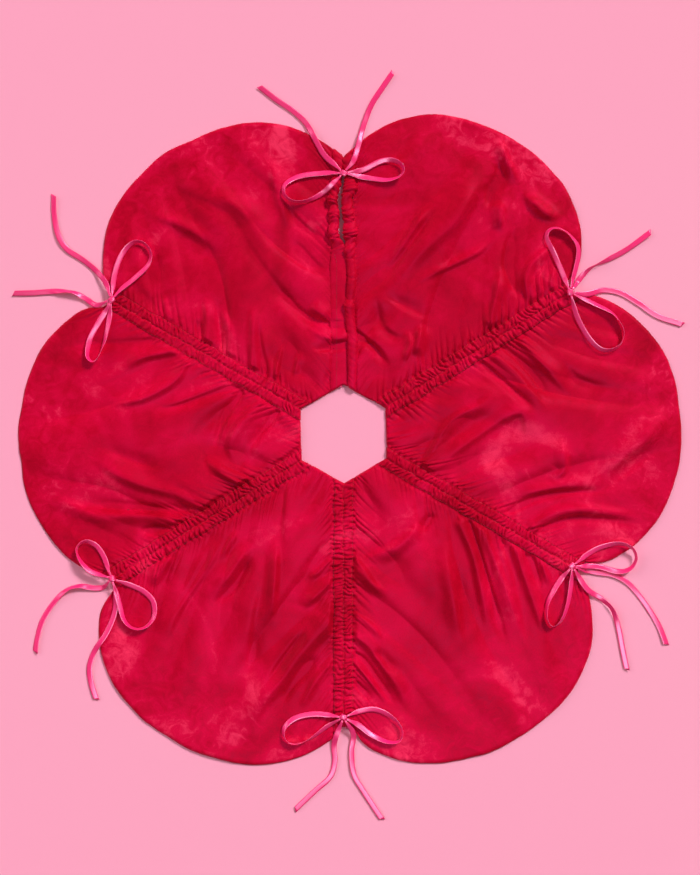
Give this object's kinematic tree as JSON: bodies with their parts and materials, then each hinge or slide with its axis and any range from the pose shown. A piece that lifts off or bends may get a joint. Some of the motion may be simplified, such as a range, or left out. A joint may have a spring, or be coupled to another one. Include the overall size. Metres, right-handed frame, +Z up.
{
  "type": "tree skirt",
  "caption": "Flower-shaped gathered velvet tree skirt with petals, drawstring channels and ribbon bows round a trunk hole with an open slit.",
  "frame": {"origin": "middle of the skirt's footprint on the floor, bows left out", "axes": "+Z up off the floor, +Y along the open slit towards its bow, +X to the right seen from above with the slit at the top"},
  "size_m": [1.2347, 1.3817, 0.0203],
  "materials": {
    "velvet": "crushed velvet pile",
    "lining": "plain woven lining",
    "ribbon": "double-faced satin"
  },
  "bodies": {
    "petal_4": {"velvet_petal_4": "velvet", "lining_petal_4": "lining", "casing_6_oclock": "velvet", "channel_ribbon_6_oclock": "ribbon", "knot_6_oclock": "ribbon", "casing_8_oclock": "velvet", "channel_ribbon_8_oclock": "ribbon", "knot_8_oclock": "ribbon", "bow_6_oclock_left_loop": "ribbon", "bow_6_oclock_left_tail": "ribbon", "bow_8_oclock_upper_tail": "ribbon", "bow_8_oclock_lower_loop": "ribbon", "bow_8_oclock_lower_tail": "ribbon"},
    "petal_3": {"velvet_petal_3": "velvet", "lining_petal_3": "lining", "casing_4_oclock": "velvet", "channel_ribbon_4_oclock": "ribbon", "knot_4_oclock": "ribbon", "bow_4_oclock_upper_tail": "ribbon", "bow_4_oclock_lower_loop": "ribbon", "bow_4_oclock_lower_tail": "ribbon", "bow_6_oclock_right_loop": "ribbon", "bow_6_oclock_right_tail": "ribbon"},
    "petal_2": {"velvet_petal_2": "velvet", "lining_petal_2": "lining", "casing_2_oclock": "velvet", "channel_ribbon_2_oclock": "ribbon", "knot_2_oclock": "ribbon", "bow_2_oclock_lower_loop": "ribbon", "bow_2_oclock_lower_tail": "ribbon", "bow_4_oclock_upper_loop": "ribbon"},
    "petal_1": {"velvet_petal_1": "velvet", "lining_petal_1": "lining", "slit_casing_right": "velvet", "slit_ribbon_right": "ribbon", "knot_slit": "ribbon", "bow_2_oclock_upper_loop": "ribbon", "bow_2_oclock_upper_tail": "ribbon", "bow_slit_right_loop": "ribbon", "bow_slit_right_tail": "ribbon"},
    "petal_5": {"velvet_petal_5": "velvet", "lining_petal_5": "lining", "casing_10_oclock": "velvet", "channel_ribbon_10_oclock": "ribbon", "knot_10_oclock": "ribbon", "bow_8_oclock_upper_loop": "ribbon", "bow_10_oclock_lower_loop": "ribbon", "bow_10_oclock_lower_tail": "ribbon"},
    "petal_6": {"velvet_petal_6": "velvet", "lining_petal_6": "lining", "slit_casing_left": "velvet", "slit_ribbon_left": "ribbon", "bow_10_oclock_upper_loop": "ribbon", "bow_10_oclock_upper_tail": "ribbon", "bow_slit_left_loop": "ribbon", "bow_slit_left_tail": "ribbon"}
  },
  "joints": [
    {"name": "fold_6_oclock", "type": "hinge", "parent": "petal_4", "child": "petal_3", "pos_m": [-0.012, 0.012, 0.016], "axis": [0, -1, 0], "range_deg": [0, 60]},
    {"name": "fold_4_oclock", "type": "hinge", "parent": "petal_3", "child": "petal_2", "pos_m": [-0.012, 0.012, 0.016], "axis": [0.866, -0.5, 0], "range_deg": [0, 60]},
    {"name": "fold_2_oclock", "type": "hinge", "parent": "petal_2", "child": "petal_1", "pos_m": [-0.012, 0.012, 0.016], "axis": [0.848, 0.5299, 0], "range_deg": [0, 150]},
    {"name": "fold_8_oclock", "type": "hinge", "parent": "petal_4", "child": "petal_5", "pos_m": [-0.012, 0.012, 0.016], "axis": [0.848, 0.5299, 0], "range_deg": [0, 60]},
    {"name": "fold_10_oclock", "type": "hinge", "parent": "petal_5", "child": "petal_6", "pos_m": [-0.012, 0.012, 0.016], "axis": [0.866, -0.5, 0], "range_deg": [0, 150]}
  ]
}
